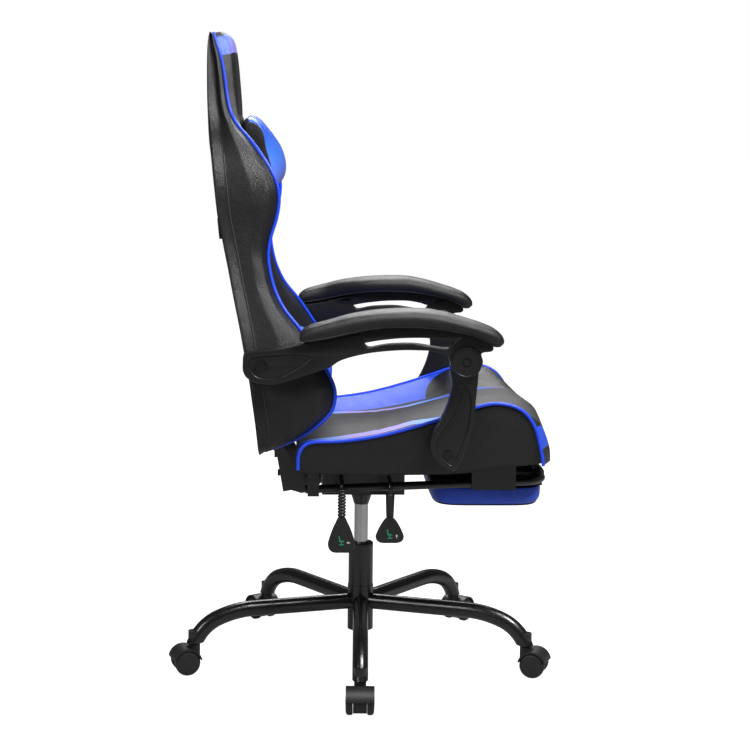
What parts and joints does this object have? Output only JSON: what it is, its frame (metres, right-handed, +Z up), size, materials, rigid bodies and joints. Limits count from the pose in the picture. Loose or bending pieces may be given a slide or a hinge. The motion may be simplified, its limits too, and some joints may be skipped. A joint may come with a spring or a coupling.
{
  "type": "gaming chair",
  "caption": "High-back swivel chair with bucket seat, reclining back, linked armrests, gas lift, five-leg caster base and a fold-away footrest.",
  "frame": {"origin": "on the floor, on the axis of the column", "axes": "+X is the front of the chair, +Y its left-hand side, +Z up"},
  "size_m": [0.7645, 0.7441, 1.266],
  "materials": {
    "black_steel": "satin black powder coat",
    "chrome": "polished chrome",
    "zinc_steel": "zinc-plated fasteners and pins",
    "black_plastic": "matt moulded nylon",
    "gloss_plastic": "semi-gloss moulded plastic",
    "black_leather": "black faux leather with a fine grain",
    "blue_leather": "glossy royal-blue faux leather",
    "stained_plywood": "plywood under a black stain",
    "webbing": "black woven webbing"
  },
  "bodies": {
    "base": {"base_hub": "black_steel", "base_leg_1": "black_steel", "base_leg_2": "black_steel", "base_leg_3": "black_steel", "base_leg_4": "black_steel", "base_leg_5": "black_steel", "gas_tube": "black_steel", "gas_tube_collar": "black_plastic"},
    "caster_1": {"caster_hood_1": "black_plastic", "caster_stem_1": "zinc_steel"},
    "wheels_1": {"caster_wheels_1": "black_plastic"},
    "caster_2": {"caster_hood_2": "black_plastic", "caster_stem_2": "zinc_steel"},
    "wheels_2": {"caster_wheels_2": "black_plastic"},
    "caster_3": {"caster_hood_3": "black_plastic", "caster_stem_3": "zinc_steel"},
    "wheels_3": {"caster_wheels_3": "black_plastic"},
    "caster_4": {"caster_hood_4": "black_plastic", "caster_stem_4": "zinc_steel"},
    "wheels_4": {"caster_wheels_4": "black_plastic"},
    "caster_5": {"caster_hood_5": "black_plastic", "caster_stem_5": "zinc_steel"},
    "wheels_5": {"caster_wheels_5": "black_plastic"},
    "swivel": {"piston_rod": "zinc_steel"},
    "seat": {"gas_cylinder": "chrome", "mechanism_plate": "black_steel", "recline_hinge_pin": "zinc_steel", "seat_board": "stained_plywood", "seat_bolts": "zinc_steel", "seat_centre_pad": "black_leather", "seat_bolster_left": "black_leather", "seat_bolster_right": "black_leather", "rail_hangers": "black_steel"},
    "height_lever": {"height_lever_rod": "black_plastic", "height_lever_paddle": "black_plastic"},
    "recline_lever": {"recline_lever_rod": "black_plastic", "recline_lever_bellows": "black_plastic", "recline_lever_paddle": "black_plastic"},
    "back": {"back_bracket": "black_steel", "back_frame": "black_steel", "back_centre_pad": "black_leather", "back_rear_cover": "black_leather", "back_bolster_left": "black_leather", "back_bolster_right": "black_leather", "neck_pillow": "blue_leather", "lumbar_pillow": "blue_leather", "pillow_strap": "webbing", "back_bolts": "zinc_steel"},
    "arm_left": {"arm_frame_left": "gloss_plastic", "arm_pad_left": "black_leather"},
    "post_left": {"arm_post_left": "gloss_plastic", "pivot_cap_left": "gloss_plastic"},
    "arm_right": {"arm_frame_right": "gloss_plastic", "arm_pad_right": "black_leather"},
    "post_right": {"arm_post_right": "gloss_plastic", "pivot_cap_right": "gloss_plastic"},
    "footrest": {"footrest_frame": "black_steel"},
    "footpad": {"footrest_board": "stained_plywood", "footrest_pad": "blue_leather", "footrest_clamps": "black_steel"}
  },
  "joints": [
    {"name": "caster_swivel_1", "type": "hinge", "parent": "base", "child": "caster_1", "pos_m": [-0.01211, -0.34679, 0.061], "axis": [0, 0, 1], "continuous": true},
    {"name": "caster_roll_1", "type": "hinge", "parent": "caster_1", "child": "wheels_1", "pos_m": [-0.01274, -0.36478, 0.025], "axis": [0.9994, -0.0349, 0], "continuous": true},
    {"name": "caster_swivel_2", "type": "hinge", "parent": "base", "child": "caster_2", "pos_m": [0.32607, -0.11868, 0.061], "axis": [0, 0, 1], "continuous": true},
    {"name": "caster_roll_2", "type": "hinge", "parent": "caster_2", "child": "wheels_2", "pos_m": [0.34299, -0.12484, 0.025], "axis": [0.342, 0.9397, 0], "continuous": true},
    {"name": "caster_swivel_3", "type": "hinge", "parent": "base", "child": "caster_3", "pos_m": [0.21363, 0.27344, 0.061], "axis": [0, 0, 1], "continuous": true},
    {"name": "caster_roll_3", "type": "hinge", "parent": "caster_3", "child": "wheels_3", "pos_m": [0.22472, 0.28762, 0.025], "axis": [-0.788, 0.6157, 0], "continuous": true},
    {"name": "caster_swivel_4", "type": "hinge", "parent": "base", "child": "caster_4", "pos_m": [-0.19404, 0.28768, 0.061], "axis": [0, 0, 1], "continuous": true},
    {"name": "caster_roll_4", "type": "hinge", "parent": "caster_4", "child": "wheels_4", "pos_m": [-0.20411, 0.3026, 0.025], "axis": [-0.829, -0.5592, 0], "continuous": true},
    {"name": "caster_swivel_5", "type": "hinge", "parent": "base", "child": "caster_5", "pos_m": [-0.33356, -0.09565, 0.061], "axis": [0, 0, 1], "continuous": true},
    {"name": "caster_roll_5", "type": "hinge", "parent": "caster_5", "child": "wheels_5", "pos_m": [-0.35086, -0.10061, 0.025], "axis": [0.2756, -0.9613, 0], "continuous": true},
    {"name": "seat_swivel", "type": "hinge", "parent": "base", "child": "swivel", "pos_m": [0, 0, 0.07], "axis": [0, 0, 1], "continuous": true},
    {"name": "seat_lift", "type": "slide", "parent": "swivel", "child": "seat", "axis": [0, 0, 1], "range_m": [-0.078, 0]},
    {"name": "height_lever", "type": "hinge", "parent": "seat", "child": "height_lever", "pos_m": [0.046, -0.062, 0.412], "axis": [-1, 0, 0], "range_deg": [0, 6], "stiffness_Nm_per_rad": 3, "springref_deg": -8.59},
    {"name": "recline_lever", "type": "hinge", "parent": "seat", "child": "recline_lever", "pos_m": [-0.046, -0.062, 0.412], "axis": [-1, 0, 0], "range_deg": [0, 6], "stiffness_Nm_per_rad": 3, "springref_deg": -8.59},
    {"name": "back_recline", "type": "hinge", "parent": "seat", "child": "back", "pos_m": [-0.1, 0, 0.395], "axis": [0, -1, 0], "range_deg": [0, 36]},
    {"name": "arm_left_tilt", "type": "hinge", "parent": "back", "child": "arm_left", "pos_m": [-0.199, 0, 0.65], "axis": [0, -1, 0], "range_deg": [-25, 0]},
    {"name": "post_left_tilt", "type": "hinge", "parent": "seat", "child": "post_left", "pos_m": [0.15, 0, 0.48], "axis": [0, -1, 0], "range_deg": [0, 48]},
    {"name": "arm_right_tilt", "type": "hinge", "parent": "back", "child": "arm_right", "pos_m": [-0.199, 0, 0.65], "axis": [0, -1, 0], "range_deg": [-25, 0]},
    {"name": "post_right_tilt", "type": "hinge", "parent": "seat", "child": "post_right", "pos_m": [0.15, 0, 0.48], "axis": [0, -1, 0], "range_deg": [0, 48]},
    {"name": "footrest_slide", "type": "slide", "parent": "seat", "child": "footrest", "axis": [0.9993, 0, 0.0384], "range_m": [0, 0.28]},
    {"name": "footpad_flip", "type": "hinge", "parent": "footrest", "child": "footpad", "pos_m": [0.345, 0, 0.40771], "axis": [0, -1, 0], "range_deg": [0, 180]}
  ],
  "couplings": [
    {"joint": "arm_left_tilt", "follows": "back_recline", "ratio": -0.69},
    {"joint": "post_left_tilt", "follows": "back_recline", "ratio": 1.32},
    {"joint": "arm_right_tilt", "follows": "back_recline", "ratio": -0.69},
    {"joint": "post_right_tilt", "follows": "back_recline", "ratio": 1.32},
    {"joint": "footpad_flip", "follows": "footrest_slide", "rad_per_m": 11.22}
  ]
}
